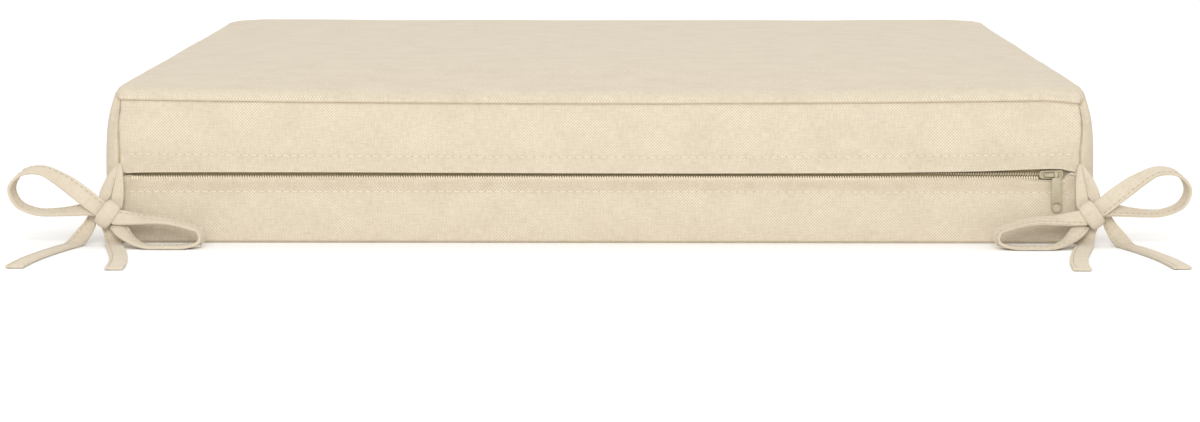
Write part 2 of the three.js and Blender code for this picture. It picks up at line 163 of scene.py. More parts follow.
# Half of a strip's section, from its folded edge over to its stitched edge, in half widths and half thicknesses
STRIP_SECTION = (
    (-1.0, 0.3),
    (-0.95, 0.78),
    (-0.8, 1.0),
    (-0.4, 1.0),
    (0.05, 1.0),
    (0.42, 0.97),
    (0.62, 0.7),
    (0.8, 0.93),
    (0.94, 0.8),
    (1.0, 0.4),
    (0.92, 0.06),
)
STITCH_LINE = 0.62
# Routes of the left bow: out from the knot, forward of it, height, direction of the strip's width in the
# same three, and share of the full width where the strip is gathered
OUTER_ROOT = (
    (-4.4, -11.8, 40.4, 1, 0, 0, 0.12),
    (-3.8, -10, 39, 1, 0.2, 0, 0.2),
    (-2.7, -7.5, 36.6, 0.9, 0.3, 0, 0.36),
    (-0.5, -5.8, 31.5, 0.8, 0.5, 0.1, 0.6),
    (1.4, -4.2, 26, 0.8, 0.5, 0.2, 0.7),
    (2.8, -1.6, 21.8, 0.75, 0.2, 0.58, 0.4),
    (2, -0.7, 19, 0.75, 0.1, 0.6, 0.35),
)
OUTER_LOOP = (
    (1.5, 0.9, 17, 0.58, 0, -0.81, 0.92),
    (5.6, 1.2, 20.2, 0.55, 0.1, -0.83, 1),
    (14.2, 0.8, 27, 0.5, 0.3, -0.8, 1),
    (23.8, 0.3, 33.6, 0.35, 0.75, -0.55, 1),
    (33, 0, 37.9, 0.1, 0.92, -0.35, 1),
    (42.5, 0, 36.6, 0.1, 0.97, -0.2, 1),
    (48, 0, 29.2, 0.25, 0.97, 0, 1),
    (45, -0.3, 21.2, 0.2, 0.97, -0.15, 1),
    (35.8, -0.8, 16.9, 0.05, 0.97, -0.2, 1),
    (26, -1.2, 16.6, 0, 0.96, -0.25, 1),
    (16.5, -1.5, 17.4, 0.1, 0.9, -0.4, 1),
    (9.2, -1.5, 18.2, 0.3, 0.6, -0.7, 0.85),
    (3, -1.2, 17.4, 0.5, 0.2, -0.85, 0.8),
)
OUTER_TAIL = (
    (6, -1.6, 19.2, 0.81, 0, 0.58, 0.3),
    (7.8, -5.8, 15.9, 0.81, 0, 0.58, 0.42),
    (9.8, -5, 10.2, 0.8, 0.1, 0.55, 0.7),
    (13.5, -1.5, 4.6, 0.95, 0, 0.3, 0.9),
    (16.5, 5, 1.3, 0.97, -0.2, 0, 1),
    (20, 16, 1, 0.95, -0.3, 0, 1),
    (25, 36, 1, 0.97, -0.23, 0, 1),
    (29.5, 60, 1, 0.98, -0.15, 0, 1),
    (32, 86, 1, 0.99, -0.1, 0, 1),
)
INNER_ROOT = (
    (-4.9, -10.8, 40, 1, 0, 0, 0.12),
    (-5.1, -8.9, 38.8, 1, 0, 0, 0.2),
    (-5.4, -7.1, 36, 1, 0.05, 0, 0.34),
    (-5, -6.1, 30, 1, 0.1, 0, 0.54),
    (-4.3, -5.3, 24, 1, 0.1, 0.1, 0.7),
    (-3.6, -4.1, 18.6, 0.9, 0.1, 0.4, 0.7),
    (-2.7, -0.6, 16.4, 0.8, 0.1, 0.4, 0.7),
)
INNER_LOOP = (
    (-2, 2.7, 14.8, 0.58, 0, -0.81, 0.85),
    (-8.5, 3.2, 14.2, 0.3, 0.6, -0.7, 0.95),
    (-17, 4, 13.6, 0.1, 0.92, -0.36, 1),
    (-28, 5, 13.4, 0.05, 0.95, -0.25, 1),
    (-39, 6.5, 11.4, 0.1, 0.97, -0.18, 1),
    (-47.5, 9, 8, 0.2, 0.97, -0.1, 1),
    (-47.5, 11.5, 3.3, 0.2, 0.98, 0, 1),
    (-41, 13.5, 1.3, 0.1, 0.99, 0, 1),
    (-31, 14.5, 1.1, 0.05, 1, 0, 1),
    (-20, 13.5, 1.4, 0, 1, 0, 1),
    (-11.5, 9.5, 4.8, 0.1, 0.9, -0.2, 1),
    (-6, 3.5, 9.6, 0.4, 0.6, -0.6, 0.9),
    (-2.2, -2.6, 13.4, 0.58, 0.1, -0.8, 0.85),
)
INNER_TAIL = (
    (2.2, -3.4, 10.8, 0.9, 0, -0.4, 0.5),
    (-0.5, -2.4, 6.8, 0.95, 0, -0.3, 0.75),
    (-2.6, 1.5, 2.8, 0.98, 0, -0.15, 0.95),
    (-4.5, 9, 1.2, 0.97, 0.2, 0, 1),
    (-8, 26, 1.1, 0.97, 0.2, 0, 1),
    (-12.5, 50, 1, 0.98, 0.17, 0, 1),
    (-15.5, 74, 1, 0.99, 0.1, 0, 1),
    (-16.5, 92, 1, 1, 0.05, 0, 1),
)


class Wire:
    """A value in a finish, for sums."""

    def __init__(self, finish, socket):
        self.finish = finish
        self.socket = socket

    def work(self, operation, first, second=0.0):
        return self.finish.node("ShaderNodeMath", {"operation": operation}, {0: first, 1: second})

    def __add__(self, other):
        return self.work("ADD", self, other)

    __radd__ = __add__

    def __sub__(self, other):
        return self.work("SUBTRACT", self, other)

    def __rsub__(self, other):
        return self.work("SUBTRACT", other, self)

    def __mul__(self, other):
        return self.work("MULTIPLY", self, other)

    __rmul__ = __mul__

    def __abs__(self):
        return self.work("ABSOLUTE", self)

    def wave(self):
        return self.work("SINE", self)

    def larger(self, other):
        return self.work("MAXIMUM", self, other)


class Finish:
    """A material and the nodes that make it."""

    def __init__(self, name):
        self.material = bpy.data.materials.new(name)
        self.material.use_nodes = True
        self.tree = self.material.node_tree
        self.tree.nodes.clear()

    def node(self, kind, settings=None, sockets=None, output=0):
        made = self.tree.nodes.new(kind)
        for name, value in (settings or {}).items():
            if name == "stops":
                for stop, (place, colour) in zip(made.color_ramp.elements, value):
                    stop.position = place
                    stop.color = colour
            else:
                setattr(made, name, value)
        for name, value in (sockets or {}).items():
            if isinstance(value, Wire):
                self.tree.links.new(value.socket, made.inputs[name])
            else:
                made.inputs[name].default_value = value
        return Wire(self, made.outputs[output])

    def mottle(self, place, scale, detail=2.0):
        """Uneven tone, from 0 to 1, with its own scale in each direction."""
        stretched = self.node("ShaderNodeMapping", {}, {"Vector": place, "Scale": scale})
        return self.node("ShaderNodeTexNoise", {}, {"Vector": stretched, "Scale": 1.0, "Detail": detail})

    def blended(self, share, first, second):
        return self.node("ShaderNodeMix", {"data_type": "RGBA"}, {0: share, 6: first, 7: second}, 2)

    def done(self, sockets):
        shader = self.node("ShaderNodeBsdfPrincipled", {}, sockets)
        self.node_output(shader)
        return self.material

    def node_output(self, shader):
        end = self.tree.nodes.new("ShaderNodeOutputMaterial")
        self.tree.links.new(shader.socket, end.inputs[0])


def woven_cloth(name, dark, light, shade_colour, yarn, check):
    """Fine plain weave: yarns over and under each other, each with slubs of its own tone."""
    cloth = Finish(name)
    place = cloth.node("ShaderNodeUVMap", {"uv_map": "cloth"})
    across = cloth.node("ShaderNodeSeparateXYZ", {}, {0: place}, "X")
    along = cloth.node("ShaderNodeSeparateXYZ", {}, {0: place}, "Y")
    warp = (across * (math.pi / yarn)).wave()
    weft = (along * (math.pi / yarn)).wave()
    over = warp * weft * 0.5 + 0.5
    height = (abs(warp) * (over * 0.75 + 0.25)).larger(abs(weft) * (1 - over * 0.75))
    warp_slubs = cloth.mottle(place, (0.9 / yarn, 220, 1))
    weft_slubs = cloth.mottle(place, (220, 0.9 / yarn, 1))
    clouds = cloth.mottle(place, (48, 62, 1), 3.0)
    crossing = (over - 0.5) * (clouds * 3.4 - 1.1).larger(0.1) * check
    tone = height * 0.3 + crossing + warp_slubs * 0.8 + weft_slubs * 0.8 + clouds * 0.62 - 0.91
    colour = cloth.blended(tone, (*dark, 1), (*light, 1))
    # Painted shade: a per-vertex attribute darkens the cloth toward the shade colour in seam grooves, creases, dimples,
    # along the bottom edge and on the zip's lower lip
    painted_shade = cloth.node("ShaderNodeAttribute", {"attribute_name": "painted_shade"}, {}, "Fac")
    puckered = cloth.node("ShaderNodeAttribute", {"attribute_name": "puckered"}, {}, "Fac")
    puckers = cloth.mottle(place, (150, 150, 1))
    colour = cloth.blended(painted_shade * (puckers * 1.5 + 0.1), colour, (*shade_colour, 1))
    bumps = height + (warp_slubs + weft_slubs) * 0.35 + puckered * puckers * 4.0
    normal = cloth.node("ShaderNodeBump", {}, {"Strength": 0.35, "Distance": 0.25 * MM, "Height": bumps})
    roughness = 0.98 - height * 0.12
    return cloth.done({
        "Base Color": colour,
        "Roughness": roughness,
        "Specular IOR Level": 0.2,
        "Sheen Weight": 0.12,
        "Sheen Roughness": 0.5,
        "Normal": normal,
    })


def sewing_thread(name, dark, light):
    """Twisted thread, seen as a fine slant."""
    thread = Finish(name)
    place = thread.node("ShaderNodeTexCoord", {}, {}, "Object")
    turned = thread.node("ShaderNodeMapping", {}, {"Vector": place, "Rotation": (0.5, 0.6, 0.7)})
    twist = thread.node("ShaderNodeTexWave", {}, {"Vector": turned, "Scale": 900.0, "Distortion": 1.0}, "Fac")
    tone = thread.mottle(place, (60, 60, 60)) * 0.5 + twist * 0.5
    colour = thread.blended(tone, (*dark, 1), (*light, 1))
    normal = thread.node("ShaderNodeBump", {}, {"Strength": 0.3, "Distance": 0.05 * MM, "Height": twist})
    return thread.done({"Base Color": colour, "Roughness": 0.7, "Sheen Weight": 0.1, "Normal": normal})


def coil_nylon(name):
    """Nylon coil, with painted shade darkening its upper row, where the upper lip shades it."""
    nylon = Finish(name)
    place = nylon.node("ShaderNodeTexCoord", {}, {}, "Object")
    tone = nylon.mottle(place, (140, 140, 500))
    colour = nylon.blended(tone, (0.68, 0.59, 0.41, 1), (0.88, 0.79, 0.6, 1))
    up = nylon.node("ShaderNodeSeparateXYZ", {}, {0: place}, "Z")
    # Painted shade: toward the upper row the coil blends to a dark tone that stands for the shadow under the upper lip
    upper = (up - CHAIN_Z) * (0.5 / MM) + 0.4
    colour = nylon.blended(upper, colour, (0.29, 0.235, 0.14, 1))
    scuffs = nylon.mottle(place, (900, 900, 2500))
    normal = nylon.node("ShaderNodeBump", {}, {"Strength": 0.2, "Distance": 0.05 * MM, "Height": scuffs})
    return nylon.done({"Base Color": colour, "Roughness": scuffs * 0.25 + 0.35, "Normal": normal})


def zip_tape(name):
    """Close-woven tape behind the coil, in a dark tone that is partly its own colour and partly painted shade of the
    slot under the upper lip.
    """
    tape = Finish(name)
    place = tape.node("ShaderNodeTexCoord", {}, {}, "Object")
    across = tape.node("ShaderNodeSeparateXYZ", {}, {0: place}, "X")
    up = tape.node("ShaderNodeSeparateXYZ", {}, {0: place}, "Z")
    ribs = (across * (math.pi / (0.6 * MM)) + up * (math.pi / (1.2 * MM))).wave()
    tone = ribs * 0.3 + tape.mottle(place, (60, 60, 200)) * 0.6 + 0.1
    # Dark tone: partly the tape's own colour, partly painted shade of the slot under the upper lip
    colour = tape.blended(tone, (0.33, 0.27, 0.15, 1), (0.47, 0.39, 0.24, 1))
    normal = tape.node("ShaderNodeBump", {}, {"Strength": 0.3, "Distance": 0.1 * MM, "Height": ribs})
    return tape.done({"Base Color": colour, "Roughness": 0.9, "Normal": normal})


def painted_metal(name):
    """Satin paint with a faint orange-peel surface and small rubbed specks."""
    paint = Finish(name)
    place = paint.node("ShaderNodeTexCoord", {}, {}, "Object")
    tone = paint.mottle(place, (260, 260, 260), 3.0)
    specks = paint.node(
        "ShaderNodeValToRGB",
        {"stops": ((0.66, (0, 0, 0, 1)), (0.72, (1, 1, 1, 1)))},
        {0: paint.mottle(place, (1400, 1400, 1400), 2.0)},
    )
    colour = paint.blended(tone, (0.38, 0.325, 0.22, 1), (0.48, 0.42, 0.29, 1))
    colour = paint.blended(specks * 0.35, colour, (0.68, 0.62, 0.5, 1))
    peel = paint.mottle(place, (1900, 1900, 1900), 1.0)
    normal = paint.node("ShaderNodeBump", {}, {"Strength": 0.12, "Distance": 0.05 * MM, "Height": peel})
    return paint.done({
        "Base Color": colour,
        "Roughness": tone * 0.2 + 0.3,
        "Metallic": specks * 0.4,
        "Coat Weight": 0.15,
        "Normal": normal,
    })


def pale_floor(name):
    floor = Finish(name)
    place = floor.node("ShaderNodeTexCoord", {}, {}, "Object")
    tone = floor.mottle(place, (3, 3, 3), 3.0)
    colour = floor.blended(tone, (0.955, 0.955, 0.955, 1), (0.975, 0.975, 0.975, 1))
    return floor.done({"Base Color": colour, "Roughness": 0.8})


def clamp(value, low=0.0, high=1.0):
    return max(low, min(high, value))


def ease(share):
    share = clamp(share)
    return share * share * (3 - 2 * share)


def between(rows, place):
    """Value at a place on a smooth line through rows of place and value."""
    if place <= rows[0][0]:
        return rows[0][1]
    if place >= rows[-1][0]:
        return rows[-1][1]
    n = max(k for k in range(len(rows) - 1) if rows[k][0] <= place)
    (start, low), (end, high) = rows[n], rows[n + 1]
    before = rows[max(n - 1, 0)]
    after = rows[min(n + 2, len(rows) - 1)]
    span = end - start
    leave = (high - before[1]) / (end - before[0]) * span
    arrive = (after[1] - low) / (after[0] - start) * span
    t = (place - start) / span
    from_start = (2 * t ** 3 - 3 * t ** 2 + 1) * low + (t ** 3 - 2 * t ** 2 + t) * leave
    return from_start + (3 * t ** 2 - 2 * t ** 3) * high + (t ** 3 - t ** 2) * arrive


def finished(name, bm, finish, node=None, smooth=True, subdivisions=0):
    """Makes a piece of the object from a mesh, with its finish and its place on the body."""
    mesh = bpy.data.meshes.new(name)
    bm.to_mesh(mesh)
    bm.free()
    mesh.materials.append(finish)
    if smooth:
        mesh.shade_smooth()
    piece = bpy.data.objects.new(name, mesh)
    bpy.context.collection.objects.link(piece)
    if subdivisions:
        rounding = piece.modifiers.new("rounding", "SUBSURF")
        rounding.levels = subdivisions
        rounding.render_levels = subdivisions
    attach(piece, "root")
    if node:
        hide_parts(node)
    return piece


def repeated(shape, places):
    """A mesh with one copy of a shape at each place."""
    mould = bpy.data.meshes.new("mould")
    shape.to_mesh(mould)
    shape.free()
    bm = bmesh.new()
    for place in places:
        cast = mould.copy()
        cast.transform(place)
        bm.from_mesh(cast)
        bpy.data.meshes.remove(cast)
    bpy.data.meshes.remove(mould)
    return bm


def sewn_stitches(seats, length, thickness):
    """One small rounded stitch at each seat: a point, the seam's direction there, and the way out."""
    stitch = bmesh.new()
    size = Matrix.Diagonal((length / 2, thickness / 2, thickness / 2, 1))
    lying = Matrix.Rotation(math.pi / 2, 4, "Y")
    bmesh.ops.create_uvsphere(stitch, u_segments=5, v_segments=6, radius=1, matrix=size @ lying)
    places = []
    for point, along, out in seats:
        side = out.cross(along).normalized()
        along = along.normalized()
        turn = Matrix((along, side, along.cross(side))).transposed().to_4x4()
        places.append(Matrix.Translation(point) @ turn)
    return repeated(stitch, places)


def place_camera():
    view = bpy.data.cameras.new("front_view")
    view.lens = 101.26
    view.sensor_width = 36
    view.sensor_fit = "HORIZONTAL"
    camera = bpy.data.objects.new("front_view", view)
    camera.location = (13.7 * MM, -1939.7 * MM, 222.6 * MM)
    camera.rotation_euler = (math.radians(83.045), 0, math.radians(0.451))
    bpy.context.collection.objects.link(camera)
    bpy.context.scene.camera = camera


def route_line(route, side):
    """Close points along a route in one bow: place, direction of the strip's width, and its gather."""
    points = [Vector((side * (KNOT.x + r[0] * MM), KNOT.y - r[1] * MM, r[2] * MM)) for r in route]
    widths = [Vector((side * r[3], -r[4], r[5])) for r in route]
    ends = [2 * points[0] - points[1], *points, 2 * points[-1] - points[-2]]
    line = []
    for n in range(len(points) - 1):
        before, start, finish, after = ends[n:n + 4]
        came = math.sqrt((start - before).length)
        goes = math.sqrt((finish - start).length)
        next_goes = math.sqrt((after - finish).length)
        leave = (start - before) / came - (finish - before) / (came + goes) + (finish - start) / goes
        arrive = (finish - start) / goes - (after - start) / (goes + next_goes) + (after - finish) / next_goes
        steps = max(2, round((finish - start).length / (1.8 * MM)))
        last = n == len(points) - 2
        for k in range(steps + last):
            t = k / steps
            spot = (2 * t ** 3 - 3 * t ** 2 + 1) * start + (t ** 3 - 2 * t ** 2 + t) * goes * leave
            spot += (3 * t ** 2 - 2 * t ** 3) * finish + (t ** 3 - t ** 2) * goes * arrive
            gather = route[n][6] + (route[n + 1][6] - route[n][6]) * t
            line.append([spot, widths[n].lerp(widths[n + 1], t), gather])
    for _ in range(3):
        turns = [row[1] for row in line]
        for k in range(1, len(line) - 1):
            line[k][1] = (turns[k - 1] + 2 * turns[k] + turns[k + 1]) / 4
    return line


def section_points(centre, width, facing, half_width, half_thickness):
    upper = [(x, y) for x, y in STRIP_SECTION]
    lower = [(x, -y) for x, y in reversed(STRIP_SECTION)]
    return [centre + width * (x * half_width) + facing * (y * half_thickness) for x, y in upper + lower]


def next_ring(bm, ring):
    """Pulls a ring of vertices out into a new one, in the same order."""
    edges = [bm.edges.get((ring[n - 1], corner)) for n, corner in enumerate(ring)]
    pulled = bmesh.ops.extrude_edge_only(bm, edges=edges)["geom"]
    made = {part for part in pulled if isinstance(part, bmesh.types.BMVert)}
    return [next(e.other_vert(v) for e in v.link_edges if e.other_vert(v) in made) for v in ring]


def strip_frames(line, flip):
    """Along a line: centre, direction along, direction of the width, direction of the face, and gather."""
    frames = []
    for n, (centre, width, gather) in enumerate(line):
        along = (line[min(n + 1, len(line) - 1)][0] - line[max(n - 1, 0)][0]).normalized()
        width = (width - along * width.dot(along)).normalized() * flip
        frames.append((centre, along, width, along.cross(width), gather))
    return frames


def sew_strip(bm, cloth_places, frames, free_end=False):
    """A folded strip of cloth along its frames, with a hemmed end where that end is free."""
    rows = [(f[0], f[2], f[3], f[4], 1.0) for f in frames]
    if free_end:
        centre, along, width, facing, gather = frames[-1]
        rows[-1] = (centre - along * 0.9 * MM, width, facing, gather, 1.0)
        rows.append((centre - along * 0.3 * MM, width, facing, gather, 0.9))
        rows.append((centre, width, facing, gather * 0.99, 0.55))
    count = 2 * len(STRIP_SECTION)
    ring = bmesh.ops.create_circle(bm, segments=count, radius=TIE_WIDTH / 2)["verts"]
    start = ring
    length = 0.0
    for n, (centre, width, facing, gather, fullness) in enumerate(rows):
        if n:
            ring = next_ring(bm, ring)
            length += (centre - rows[n - 1][0]).length
        half_thickness = TIE_THICKNESS / 2 * fullness * (1.0 + 0.25 * (1 - gather))
        spots = section_points(centre, width, facing, TIE_WIDTH / 2 * gather, half_thickness)
        for k, (corner, spot) in enumerate(zip(ring, spots)):
            corner.co = spot
            cloth_places[corner] = (k / count * 2.2 * TIE_WIDTH, length)
    return start, ring


def close_end(bm, ring):
    bmesh.ops.contextual_create(bm, geom=[bm.edges.get((ring[n - 1], v)) for n, v in enumerate(ring)])


def lay_cloth(bm, cloth_places):
    """Lays the weave along the strips."""
    weave = bm.loops.layers.uv.new("cloth")
    round_strip = 2.2 * TIE_WIDTH
    for face in bm.faces:
        spots = [cloth_places.get(loop.vert, (0.0, 0.0)) for loop in face.loops]
        wraps = max(u for u, v in spots) - min(u for u, v in spots) > round_strip / 2
        for loop, (u, v) in zip(face.loops, spots):
            loop[weave].uv = (u + round_strip if wraps and u < round_strip / 2 else u, v)


def stitch_places(frames, pitch, both_faces=True):
    """Evenly spaced stitches along the stitched edge of a strip."""
    places = []
    gone = pitch / 2
    for first, second in zip(frames, frames[1:]):
        step = (second[0] - first[0]).length
        while gone < step:
            centre = first[0].lerp(second[0], gone / step)
            width = first[2].lerp(second[2], gone / step)
            facing = first[3].lerp(second[3], gone / step)
            spot = centre + width * (STITCH_LINE * TIE_WIDTH / 2 * first[4])
            for way in (1, -1) if both_faces else (1,):
                places.append((spot + facing * (way * 0.84 * TIE_THICKNESS / 2), first[1], facing * way))
            gone += pitch
        gone -= step
    return places


def knot_axes(side):
    """The knot's own directions: along the binding turn's axis, outward from the cushion, and down the turn."""
    along = Vector((side * math.cos(BAND_ANGLE), 0, math.sin(BAND_ANGLE)))
    down = Vector((side * math.sin(BAND_ANGLE), 0, -math.cos(BAND_ANGLE)))
    return along, Vector((0, -1, 0)), down


def binding_turn(name, side, finish):
    """The turn of cloth that binds the bow."""
    along, out, down = knot_axes(side)
    centre = Vector((side * KNOT.x, KNOT.y, KNOT.z))
    bm = bmesh.new()
    cloth_places = {}
    line = []
    for n in range(28):
        turn = 2 * math.pi * n / 28
        squared = (abs(math.cos(turn)) ** 2.6 + abs(math.sin(turn)) ** 2.6) ** (-1 / 2.6)
        reach = down * (math.cos(turn) * 5.9 * MM * squared) + out * (math.sin(turn) * 3.95 * MM * squared)
        line.append([centre + reach, along, 0.93 - 0.13 * math.cos(turn) ** 4])
    frames = []
    for n, (spot, width, gather) in enumerate(line):
        way = (line[(n + 1) % 28][0] - line[n - 1][0]).normalized()
        frames.append((spot, way, width, way.cross(width), gather))
    start, end = sew_strip(bm, cloth_places, frames)
    edges = [bm.edges.get((ring[n - 1], v)) for ring in (start, end) for n, v in enumerate(ring)]
    bmesh.ops.bridge_loops(bm, edges=edges)
    for corner in bm.verts:
        spot = corner.co - centre
        side_share = spot.dot(along) / (TIE_WIDTH / 2)
        creased = 0.25 * noise.noise(Vector((spot.dot(along) * 700, spot.dot(down) * 160, side)))
        outward = spot - along * spot.dot(along)
        corner.co += outward.normalized() * ((0.9 * (1 - side_share ** 2) - 0.35 + creased) * MM)
    bmesh.ops.recalc_face_normals(bm, faces=bm.faces)
    lay_cloth(bm, cloth_places)
    return finished(name, bm, finish, subdivisions=1)


def make_tie(name, side, root, loop, tail, edges, finish, thread):
    """One tie of a bow: its root at the seam, its loop and its tail, all run into the knot."""
    bm = bmesh.new()
    cloth_places = {}
    path = []
    stitches = []
    for route, edge in zip((root, loop, tail), edges):
        frames = strip_frames(route_line(route, side), side * edge)
        path.extend(f[0] for f in frames)
        start, end = sew_strip(bm, cloth_places, frames, free_end=route is tail)
        close_end(bm, start)
        close_end(bm, end)
        if route is not root:
            stitches.extend(stitch_places(frames, 3.0 * MM))
    bmesh.ops.recalc_face_normals(bm, faces=bm.faces)
    lay_cloth(bm, cloth_places)
    tie = finished(name + "_strip", bm, finish, name, subdivisions=1)
    sewing = sewn_stitches(stitches, 2.0 * MM, 0.48 * MM)
    stitching = finished(name + "_stitches", sewing, thread)
    length = sum((b - a).length for a, b in zip(path, path[1:]))


def make_bows(finish, thread):
    for end, side in (("left", -1), ("right", 1)):
        turn = binding_turn(f"tie_{end}_binding", side, finish)
        make_tie(f"tie_{end}_outer", side, OUTER_ROOT, OUTER_LOOP, OUTER_TAIL, (-1, 1, -1), finish, thread)
        make_tie(f"tie_{end}_inner", side, INNER_ROOT, INNER_LOOP, INNER_TAIL, (-1, 1, -1), finish, thread)


def grid_lines():
    near = [HALF - line * MM for line in EDGE_LINES]
    reach = HALF - MIDDLE_LINE * MM
    middle = [reach * (2 * n / (MIDDLE_LINES - 1) - 1) for n in range(MIDDLE_LINES)]
    return [*(-place for place in near), *middle, *reversed(near)]


def cut_cover():
    """The cover's panels as a block, cut into the grid that they are shaped on."""
    bm = bmesh.new()
    middle = Matrix.Translation((0, 0, SEAM_HEIGHT / 2))
    bmesh.ops.create_cube(bm, size=1, matrix=middle @ Matrix.Diagonal((SIDE, SIDE, SEAM_HEIGHT, 1)))
    heights = sorted([*SIDE_LINES, *(fold[0] for fold in ZIP_FOLDS)])
    for axis, places in ((0, grid_lines()), (1, grid_lines()), (2, [z * MM for z in heights])):
        normal = Vector((0, 0, 0))
        normal[axis] = 1
        for place in places:
            everything = [*bm.verts, *bm.edges, *bm.faces]
            bmesh.ops.bisect_plane(bm, geom=everything, dist=1e-7, plane_co=normal * place, plane_no=normal)
    weave = bm.loops.layers.uv.new("cloth")
    for face in bm.faces:
        flat = [axis for axis in range(3) if abs(face.normal[axis]) < 0.5]
        for loop in face.loops:
            loop[weave].uv = (loop.vert.co[flat[0]], loop.vert.co[flat[1]])
    return bm


def round_corner(x, y):
    across = abs(x) - STRAIGHT
    along = abs(y) - STRAIGHT
    if across <= 0 or along <= 0:
        return x, y
    shrink = max(across, along) / math.hypot(across, along)
    return math.copysign(STRAIGHT + across * shrink, x), math.copysign(STRAIGHT + along * shrink, y)


def drawn_in(place, plan, inset):
    """A place across the cushion, drawn in where it is near the edge."""
    return plan - math.copysign(inset * ease(1 - (HALF - abs(place)) / EDGE_BAND), plan)


def plain_lift(x, y, z):
    """How much higher the top seam runs along the three plain sides than along the zip side."""
    edge = HALF - max(abs(x), y)
    behind = ease((y + HALF) / SIDE_LIFT_RUN) * SIDE_LIFT
    if z < SEAM_HEIGHT - 1e-6:
        return behind * ease((z - UPPER_STITCH) / (SEAM_HEIGHT - UPPER_STITCH)) * (edge < 1e-6)
    left = clamp(1 - (edge - LIP_START) / (ROLL_IN - LIP_START))
    return behind * (1 - math.sqrt(1 - left ** 2))


def seam_dip(x, y, z):
    nearness = clamp(1 - (y + HALF) / SAG_FADE)
    share = between(DIP_PROFILE, z / MM)
    droop = CORNER_DROOP * ease((x - 222 * MM) / (24 * MM)) * clamp(1 - (y + HALF) / (16 * MM))
    droop *= ease((z - UPPER_STITCH) / (SEAM_HEIGHT - UPPER_STITCH))
    return SEAM_SAG * (1 - (x / HALF) ** 2) * share * nearness + droop


def seam_bow(x, z):
    """How far the zip side's corner seam bows out, just under the top seam."""
    below = SEAM_HEIGHT - z
    bow = (RIGHT_BOW if x > 0 else LEFT_BOW) * ease(below / (5 * MM)) * (1 - ease((below - 10 * MM) / (16 * MM)))
    return math.copysign(bow * ease(1 - abs(abs(x) - CORNER_SEAM) / (HALF - CORNER_SEAM)), x)


def top_roll(x, y):
    """How far the top panel is raised where it rolls over to its seam."""
    edge = HALF - max(abs(x), abs(y))
    if min(abs(x), y) > HALF - BACK_CORNER:
        round_edge = BACK_CORNER - math.hypot(abs(x) - HALF + BACK_CORNER, y - HALF + BACK_CORNER)
        edge = min(edge, max(LIP_START, round_edge))
    if edge < LIP_START:
        share = max(edge, 0) / LIP_START
        return (0.6 * share ** 2 - 0.2 * (1 - share)) * MM
    left = 1 - min((edge - LIP_START) / (ROLL_IN - LIP_START), 1)
    full = ROLL_UP + between(BACK_EDGE, abs(x) / MM) * MM * ease((y + BACK_RUN) / HALF)
    full += between(BACK_EARS, abs(x) / MM) * MM * ease((y - 200 * MM) / (35 * MM))
    rise = 0.6 * MM + (full - 0.6 * MM) * math.sqrt(1 - left ** 2)
    return rise - VALLEY * math.exp(-((edge - 22 * MM) / (8 * MM)) ** 2)


def lip_inset(place, seam, lip):
    """How far in the top panel's edge lies, from its seam to the fullest part of its roll."""
    return seam + (lip - seam) * clamp((HALF - abs(place)) / LIP_START)


def crown(x, y):
    return (1 - (x / HALF) ** 2) * (1 - (y / HALF) ** 2)


def lip_heights(x):
    lower = between([(row[0], row[1]) for row in LIPS], x / MM)
    upper = between([(row[0], row[2]) for row in LIPS], x / MM)
    return lower, upper


def zip_side(x, z):
    """Height and depth of the zip side where its lips are folded in, from a place on the plain side."""
    lips = lip_heights(x)
    opening = ease((x / MM + 241.2) / 3) * ease((241.6 - x / MM) / 3)
    hollow = opening * (0.12 + 0.88 * ease((ZIP_STOP - x) / (3.5 * MM)))
    level = z / MM
    for line, lip, over, depth in ZIP_FOLDS:
        if abs(level - line) < 0.01:
            return z + (lips[lip] + over - line) * MM * opening, depth * MM * (hollow if depth > 0 else opening)
    lowest, highest = ZIP_FOLDS[0], ZIP_FOLDS[-1]
    if LOWER_STITCH < z < lowest[0] * MM:
        share = (z - LOWER_STITCH) / (lowest[0] * MM - LOWER_STITCH)
        return z + (lips[0] + lowest[2] - lowest[0]) * MM * share * opening, lowest[3] * MM * share * opening
    if highest[0] * MM < z < UPPER_STITCH:
        share = (UPPER_STITCH - z) / (UPPER_STITCH - highest[0] * MM)
        depth = highest[3] * MM * ease(share * 1.2) * opening
        return z + (lips[1] + highest[2] - highest[0]) * MM * share * opening, depth
    return z, 0.0


def shape_cover(flat):
    """Place on the shaped cover of a place on the block, before the filling swells it."""
    x, y, z = flat
    bow = seam_bow(x, z) if y < -HALF + 1e-6 else 0.0
    plan_x, plan_y = round_corner(x + bow, y)
    on_top = z > SEAM_HEIGHT - 1e-6 and max(abs(x), abs(y)) < HALF - 1e-6
    if on_top:
        side_inset = lip_inset(x, SEAM_INSET + SIDE_DRAW, SIDE_LIP_INSET)
        end_inset = lip_inset(y, SEAM_INSET, ZIP_LIP_INSET if y < 0 else BACK_LIP_INSET)
        height = SEAM_HEIGHT + top_roll(x, y) + SLACK_CROWN * crown(x, y) - seam_dip(x, y, SEAM_HEIGHT)
    else:
        end_inset = between(SIDE_PROFILE, z / MM) * MM
        side_inset = end_inset + SIDE_DRAW * ease((z - 60 * MM) / (SEAM_HEIGHT - 60 * MM))
        height = z - seam_dip(x, y, z)
    height += plain_lift(x, y, z)
    if y < -HALF + 1e-6 and abs(x) < CORNER_SEAM:
        raised, depth = zip_side(plan_x, z)
        height += raised - z
        end_inset += depth
    return Vector((drawn_in(x, plan_x, side_inset), drawn_in(y, plan_y, end_inset), height))


def held_by_sewing(flat):
    """Whether a place on the block is sewn down or lies on the seat, so that the filling can't move it."""
    x, y, z = flat
    if z < 5 * MM:
        return True
    edge = HALF - max(abs(x), abs(y))
    if z > SEAM_HEIGHT - 1e-6:
        return edge < 24 * MM
    along = min(abs(x), abs(y))
    zip_strip = y < -HALF + 1e-6 and LOWER_STITCH - 5 * MM < z < UPPER_STITCH + 3 * MM
    return zip_strip or z > 66 * MM or along > 228 * MM


